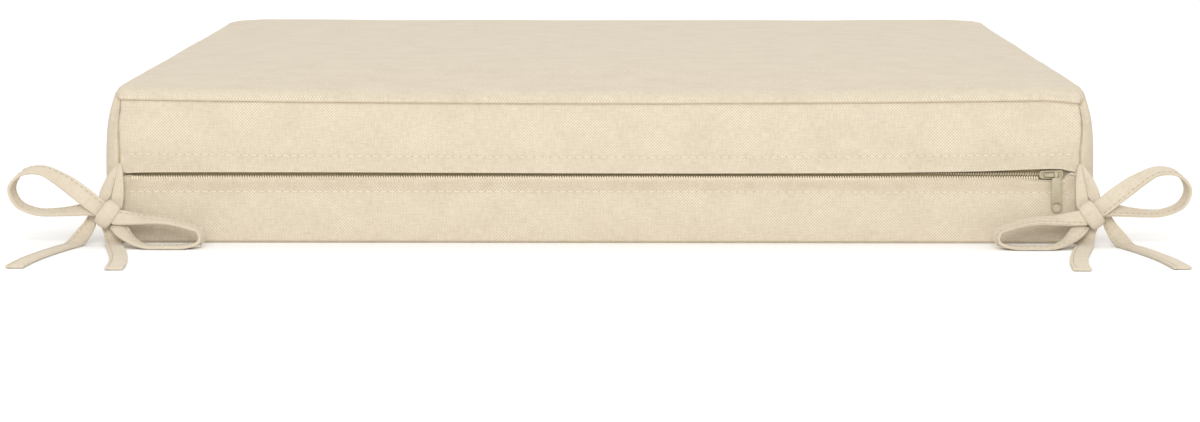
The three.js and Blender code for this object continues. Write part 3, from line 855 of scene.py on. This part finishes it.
def swell(cover, flats):
    """Lets the filling press the panels out between their seams."""
    held = cover.vertex_groups.new(name="sewn_down")
    held.add([n for n, flat in enumerate(flats) if held_by_sewing(flat)], 1.0, "REPLACE")
    cloth = cover.modifiers.new("filling", "CLOTH")
    cloth.settings.quality = 6
    cloth.settings.mass = 0.2
    cloth.settings.tension_stiffness = 12
    cloth.settings.compression_stiffness = 12
    cloth.settings.shear_stiffness = 6
    cloth.settings.bending_stiffness = 2
    cloth.settings.use_pressure = True
    cloth.settings.uniform_pressure_force = 4
    cloth.settings.vertex_group_mass = "sewn_down"
    cloth.settings.effector_weights.gravity = 0
    cloth.point_cache.frame_start = 1
    cloth.point_cache.frame_end = 20
    scene = bpy.context.scene
    for step in range(1, 21):
        scene.frame_set(step)
    swollen = cover.evaluated_get(bpy.context.evaluated_depsgraph_get())
    moved = [corner.co.copy() for corner in swollen.data.vertices]
    for corner, place in zip(cover.data.vertices, moved):
        push = place - corner.co
        corner.co += push * min(1.0, SWELL_LIMIT / max(push.length, 1e-9))
    cover.modifiers.remove(cloth)
    cover.vertex_groups.remove(held)
    scene.frame_set(1)


def along_seam(x, y):
    """Length round the cushion, for puckers that differ from place to place."""
    return x + 1.7 * y


def sewing_and_shade(flat):
    """At a place on the block: how deep the sewing draws the cover in, how much painted shade darkens its grooves and
    creases, and how puckered.
    """
    x, y, z = flat
    edge = HALF - max(abs(x), abs(y))
    on_top = z > SEAM_HEIGHT - 1e-6 and edge > 1e-6
    on_zip_side = y < -HALF + 1e-6
    spot = along_seam(x, y) / MM
    pucker = noise.noise(Vector((spot / 7, z * 20, 3.1)))
    wide = noise.noise(Vector((x * 22, y * 22, z * 30)))
    depth = 0.0
    shade_tone = 0.0
    if on_top:
        nearness = math.exp(-edge / (7 * MM))
        depth += 0.35 * MM * pucker * nearness * ease(edge / (2 * MM))
        depth += 0.25 * MM * wide
        # Painted shade in the groove of the top seam
        shade_tone = SEAM_SHADE_TONE * math.exp(-(edge / (0.7 * MM)) ** 2)
        return depth, shade_tone, math.exp(-edge / (6 * MM))
    if z < 1e-6:
        return 0.0, 0.0, 0.0
    below = SEAM_HEIGHT - z
    depth += 0.4 * MM * pucker * math.exp(-below / (9 * MM)) * ease(below / (1.5 * MM))
    depth += 0.25 * MM * wide * ease(z / (12 * MM))
    base = math.exp(-((z - BASE_SEAM) / (0.6 * MM)) ** 2)
    depth += 0.45 * MM * base
    # Painted shade in the top seam's groove and along the bottom edge where it meets the floor
    shade_tone = max(SEAM_SHADE_TONE * math.exp(-(below / (0.6 * MM)) ** 2), 0.6 * base)
    puckered = math.exp(-below / (6 * MM))
    if on_zip_side:
        seam = abs(abs(x) - CORNER_SEAM)
        groove = math.exp(-(seam / (0.5 * MM)) ** 2) * ease(z / (4 * MM))
        depth += 1.1 * MM * groove
        # Painted shade in the corner seam's groove, uneven along it
        shade_tone = max(shade_tone, clamp(0.95 + 0.4 * pucker) * groove)
        puckered = max(puckered, math.exp(-seam / (3 * MM)))
        if abs(x) < CORNER_SEAM:
            tight = 0.6 + 0.4 * noise.noise(Vector((spot / 5, 8.2, 0)))
            for row in (LOWER_STITCH, UPPER_STITCH):
                line = math.exp(-((z - row) / (1.1 * MM)) ** 2)
                depth += 0.55 * MM * line * tight
                # A little painted shade in the stitched grooves
                shade_tone = max(shade_tone, 0.12 * line)
                puckered = max(puckered, 0.6 * line)
            # Painted shade on the zip's lower lip under the upper lip's overhang, fading out near the lip's edge so
            # that the edge shows as a painted highlight
            if LOWER_STITCH < z < CHAIN_Z:
                lit = ease((z - 29.6 * MM) / (2.4 * MM))
                shade_tone = max(shade_tone, 0.27 * ease((z - LOWER_STITCH) / (1.2 * MM)) * (1 - lit))
        corner = math.exp(-(seam / (7 * MM)) ** 2) * math.exp(-((below - 5 * MM) / (5 * MM)) ** 2)
        depth += 1.0 * MM * corner * (0.6 + pucker)
        for pull in RIGHT_DIMPLES if x > 0 else LEFT_DIMPLES:
            dimple = math.exp(-(seam / (1.3 * MM)) ** 2) * math.exp(-((below - pull) / (1.6 * MM)) ** 2)
            depth += 1.1 * MM * dimple
            # Painted shade in the dimple
            shade_tone = max(shade_tone, dimple)
    return depth, shade_tone, puckered


def make_cushion(finish):
    bm = cut_cover()
    bm.verts.index_update()
    flats = [corner.co.copy() for corner in bm.verts]
    for corner, flat in zip(bm.verts, flats):
        corner.co = shape_cover(flat)
    bm.normal_update()
    cover = finished("cushion_cover", bm, finish, "cushion")
    swell(cover, flats)
    bm = bmesh.new()
    bm.from_mesh(cover.data)
    bm.normal_update()
    ways = [corner.normal.copy() for corner in bm.verts]
    # The first float layer holds painted shade for the cloth's colour; the second holds puckering for its bumps
    bm.verts.layers.float.new("painted_shade")
    bm.verts.layers.float.new("puckered")
    painted_shade = bm.verts.layers.float["painted_shade"]
    puckered = bm.verts.layers.float["puckered"]
    for corner, flat, way in zip(bm.verts, flats, ways):
        depth, corner[painted_shade], corner[puckered] = sewing_and_shade(flat)
        corner.co -= way * depth
    bm.to_mesh(cover.data)
    bm.free()
    rounding = cover.modifiers.new("rounding", "SUBSURF")
    rounding.levels = 1
    rounding.render_levels = 1
    return cover


def make_topstitching(cover, thread, shade):
    """The two rows of topstitching that hold the zip's lips, and dark dots of painted shade at the needle holes between
    the stitches.
    """
    shown = cover.evaluated_get(bpy.context.evaluated_depsgraph_get())
    surface = BVHTree.FromObject(shown, bpy.context.evaluated_depsgraph_get())
    stitches = []
    holes = []
    for row in (LOWER_STITCH, UPPER_STITCH):
        for n in range(-58, 58):
            x = (n + 0.5) * STITCH_PITCH
            for place, seats in ((x, stitches), (x + STITCH_PITCH / 2, holes)):
                height = row - seam_dip(place, -HALF, row)
                spot, normal, _, _ = surface.ray_cast(Vector((place, -1, height)), Vector((0, 1, 0)))
                slant = Vector((1, 0, 0.05 * noise.noise(Vector((place * 300, row, 0)))))
                seats.append((spot, slant, normal))
    finished("zip_topstitching", sewn_stitches(stitches, 3.3 * MM, 0.5 * MM), thread)
    # Painted shade: small dark thread-like marks stand for the shade in the needle holes
    finished("zip_needle_hole_shade", sewn_stitches(holes, 0.6 * MM, 0.34 * MM), shade)


def make_zip_chain(coil, tape):
    """Two rows of coil teeth, linked between the lips, on a woven tape."""
    tooth = bmesh.new()
    size = Matrix.Diagonal((0.5 * MM, 0.9 * MM, 1.15 * MM, 1))
    bmesh.ops.create_uvsphere(tooth, u_segments=8, v_segments=6, radius=1, matrix=size)
    places = []
    end = SLIDER_X - PLATE[0] / 2 + 1 * MM
    for n in range(int((end + CHAIN_HALF) / TOOTH_PITCH)):
        for row, depth in ((-1, -0.8 * MM), (1, 0.7 * MM)):
            x = -CHAIN_HALF + (n + 0.5 + row * 0.25) * TOOTH_PITCH
            lean = Matrix.Rotation(math.radians(14) * row, 4, "Y")
            rise = row * COIL_SPREAD - (row > 0) * COIL_CLOSING * ease((x - 130 * MM) / (70 * MM))
            places.append(Matrix.Translation((x, COIL_Y + depth, CHAIN_Z + rise)) @ lean)
    finished("zip_coil_teeth", repeated(tooth, places), coil, "zip_chain")
    bm = bmesh.new()
    length = SLIDER_X + CHAIN_HALF
    size = Matrix.Diagonal((length, 0.4 * MM, 5.2 * MM, 1))
    bmesh.ops.create_cube(bm, size=1, matrix=Matrix.Translation((length / 2 - CHAIN_HALF, -246 * MM, CHAIN_Z)) @ size)
    long_edges = [e for e in bm.edges if abs(e.verts[0].co.x - e.verts[1].co.x) > MM]
    bmesh.ops.bevel(
        bm, geom=long_edges, offset=0.15 * MM, affect="EDGES", segments=2, profile=0.5, material=-1,
    )
    finished("zip_tape", bm, tape, smooth=False)


def soften(bm, offset, angle=30):
    """Rounds every edge that is sharper than an angle."""
    sharp = [e for e in bm.edges if len(e.link_faces) == 2 and e.calc_face_angle() > math.radians(angle)]
    bmesh.ops.bevel(bm, geom=sharp, offset=offset, affect="EDGES", segments=2, profile=0.5, material=-1)


def slider_plate(front):
    """One plate of the slider: wider at the end where the lips part."""
    bm = bmesh.new()
    middle = Vector((SLIDER_X, front + PLATE[1] / 2, CHAIN_Z))
    bmesh.ops.create_cube(bm, size=1, matrix=Matrix.Translation(middle) @ Matrix.Diagonal((*PLATE, 1)))
    for corner in bm.verts:
        if corner.co.x < SLIDER_X:
            corner.co.z = CHAIN_Z + (corner.co.z - CHAIN_Z) * 0.82
    upright = [e for e in bm.edges if abs(e.verts[0].co.y - e.verts[1].co.y) > MM / 2]
    bmesh.ops.bevel(
        bm, geom=upright, offset=1.5 * MM, affect="EDGES", segments=5, profile=0.5, material=-1,
    )
    front_face = [face for face in bm.faces if face.normal.y < -0.9]
    bmesh.ops.inset_region(bm, faces=front_face, thickness=0.75 * MM, depth=0)
    bmesh.ops.inset_region(bm, faces=front_face, thickness=0.2 * MM, depth=-0.4 * MM)
    soften(bm, 0.2 * MM, 60)
    return bm


def slider_arch():
    """The arch on the front plate that the pull's ring goes through."""
    bm = bmesh.new()
    section = bmesh.ops.create_grid(
        bm, x_segments=1, y_segments=1, size=0.5,
        matrix=Matrix.Translation((3.4 * MM, 0, 0)) @ Matrix.Diagonal((1.1 * MM, 1.7 * MM, 1, 1)),
    )["verts"]
    faces = list({face for corner in section for face in corner.link_faces})
    edges = list({edge for corner in section for edge in corner.link_edges})
    bmesh.ops.spin(
        bm, geom=[*section, *edges, *faces], cent=(0, 0, 0), axis=(0, 1, 0), angle=-math.pi, steps=14,
    )
    bmesh.ops.recalc_face_normals(bm, faces=bm.faces)
    soften(bm, 0.25 * MM, 40)
    flattened = Matrix.Diagonal((1, 1, 0.66, 1))
    turned = Matrix.Rotation(math.pi / 2, 4, "X")
    place = Matrix.Translation((SLIDER_X, PLATE_FRONT + 0.15 * MM, CHAIN_Z))
    bmesh.ops.transform(bm, matrix=place @ turned @ flattened, verts=bm.verts)
    return bm


def join(target, part):
    """Adds one mesh to another."""
    carried = bpy.data.meshes.new("carried")
    part.to_mesh(carried)
    part.free()
    target.from_mesh(carried)
    bpy.data.meshes.remove(carried)


def make_slider(paint):
    bm = slider_plate(PLATE_FRONT)
    join(bm, slider_plate(-246 * MM))
    join(bm, slider_arch())
    core = bmesh.new()
    size = Matrix.Diagonal((4 * MM, 3.2 * MM, 1.2 * MM, 1))
    bmesh.ops.create_cube(core, size=1, matrix=Matrix.Translation((SLIDER_X + 2 * MM, COIL_Y, CHAIN_Z)) @ size)
    soften(core, 0.3 * MM)
    join(bm, core)
    finished("zip_slider_body", bm, paint, "zip_slider")


def pull_outline(turn):
    """Outline of the pull's tab round its eye: a round end and straight sides."""
    if math.sin(turn) <= 0:
        return Vector((2.9 * math.cos(turn), 0, 2.9 * math.sin(turn)))
    share = 1 - abs(turn / (math.pi / 2) - 1)
    side = 1 if turn < math.pi / 2 else -1
    rows = ((0.0, 2.9, 0.0), (0.1, 2.55, 1.8), (0.7, 2.4, 12.4), (0.86, 2.2, 14.4), (0.92, 1.9, 15.0), (1.0, 0.0, 15.0))
    n = max(k for k in range(len(rows) - 1) if rows[k][0] <= share)
    part = (share - rows[n][0]) / (rows[n + 1][0] - rows[n][0])
    x = rows[n][1] + (rows[n + 1][1] - rows[n][1]) * part
    z = rows[n][2] + (rows[n + 1][2] - rows[n][2]) * part
    return Vector((side * x, 0, z))


def make_pull(paint):
    """The pull: a flat tab with an eye, hung by its ring from the slider's arch."""
    count = 64
    bm = bmesh.new()
    outline = bmesh.ops.create_circle(bm, segments=count, radius=3 * MM)["verts"]
    eye = bmesh.ops.create_circle(bm, segments=count, radius=EYE_RADIUS)["verts"]
    for n, (edge, hole) in enumerate(zip(outline, eye)):
        turn = 2 * math.pi * ((n + 0.5) / count)
        edge.co = pull_outline(turn) * MM
        hole.co = Vector((math.cos(turn), 0, math.sin(turn))) * EYE_RADIUS
    loops = [bm.edges.get((ring[n - 1], v)) for ring in (outline, eye) for n, v in enumerate(ring)]
    sheet = bmesh.ops.bridge_loops(bm, edges=loops)["faces"]
    pushed = bmesh.ops.extrude_face_region(bm, geom=sheet)["geom"]
    back = [part for part in pushed if isinstance(part, bmesh.types.BMVert)]
    bmesh.ops.translate(bm, verts=back, vec=(0, 1.0 * MM, 0))
    bmesh.ops.recalc_face_normals(bm, faces=bm.faces)
    soften(bm, 0.25 * MM, 50)
    drop = Matrix.Translation((0, -1.55 * MM, -16.1 * MM))
    bmesh.ops.transform(bm, matrix=drop, verts=bm.verts)
    ring = bmesh.new()
    section = bmesh.ops.create_circle(
        ring, segments=10, radius=0.5 * MM, matrix=Matrix.Translation((0, 1.45 * MM, 0)),
    )["verts"]
    edges = list({edge for corner in section for edge in corner.link_edges})
    bmesh.ops.spin(
        ring, geom=[*section, *edges], cent=(0, 0, 0), axis=(1, 0, 0), angle=2 * math.pi, steps=24, use_merge=True,
    )
    bmesh.ops.recalc_face_normals(ring, faces=ring.faces)
    bmesh.ops.transform(ring, matrix=Matrix.Diagonal((1.6, 0.85, 1, 1)), verts=ring.verts)
    join(bm, ring)
    hang = Matrix.Rotation(PULL_LEAN, 4, "X") @ Matrix.Rotation(PULL_SWING, 4, "Y")
    bmesh.ops.transform(bm, matrix=Matrix.Translation((PULL_X, PULL_Y, CHAIN_Z)) @ hang, verts=bm.verts)
    finished("zip_pull_tab", bm, paint, "zip_pull")


def add_light(name, spot, aim, size, power):
    lamp = bpy.data.lights.new(name, "AREA")
    lamp.shape = "RECTANGLE"
    lamp.size, lamp.size_y = size
    lamp.energy = power
    light = bpy.data.objects.new(name, lamp)
    light.location = spot
    light.rotation_euler = (Vector(aim) - Vector(spot)).to_track_quat("-Z", "Y").to_euler()
    bpy.context.collection.objects.link(light)


def set_stage():
    bm = bmesh.new()
    bmesh.ops.create_grid(bm, x_segments=4, y_segments=4, size=8)
    mesh = bpy.data.meshes.new("floor")
    bm.to_mesh(mesh)
    bm.free()
    mesh.materials.append(pale_floor("pale_floor"))
    floor = bpy.data.objects.new("floor", mesh)
    bpy.context.collection.objects.link(floor)
    world = bpy.data.worlds.new("studio")
    world.use_nodes = True
    sky = world.node_tree.nodes["Background"]
    sky.inputs["Color"].default_value = (1.0, 1.0, 1.0, 1)
    sky.inputs["Strength"].default_value = 0.83
    bpy.context.scene.world = world
    add_light("front_softbox", (-0.1, -2.7, 1.4), (0, -0.1, 0.04), (1.3, 1.3), 39.3)
    add_light("top_softbox", (0.3, 1.6, 2.6), (0, 1.2, 0), (4.0, 3.0), 29.5)
    bpy.context.scene.view_settings.view_transform = "Standard"


place_camera()
# The third colour of each cloth is the colour its painted shade darkens it toward
cover_cloth = woven_cloth("cover_cloth", (0.53, 0.455, 0.345), (0.7, 0.62, 0.485), (0.36, 0.28, 0.17), 0.8 * MM, 1.25)
tie_cloth = woven_cloth("tie_cloth", (0.55, 0.475, 0.365), (0.71, 0.63, 0.5), (0.36, 0.28, 0.17), 0.6 * MM, 0.3)
stitch_thread = sewing_thread("stitch_thread", (0.68, 0.615, 0.497), (0.8, 0.735, 0.613))
tie_thread = sewing_thread("tie_thread", (0.42, 0.34, 0.22), (0.53, 0.44, 0.3))
zip_paint = painted_metal("zip_paint")
make_bows(tie_cloth, tie_thread)
cushion_cover = make_cushion(cover_cloth)
# The needle holes' dark colours are painted shade for the holes
make_topstitching(cushion_cover, stitch_thread, sewing_thread("needle_hole_shade", (0.36, 0.29, 0.18), (0.46, 0.37, 0.25)))
make_zip_chain(coil_nylon("coil_nylon"), zip_tape("zip_tape"))
make_slider(zip_paint)
make_pull(zip_paint)
set_stage()
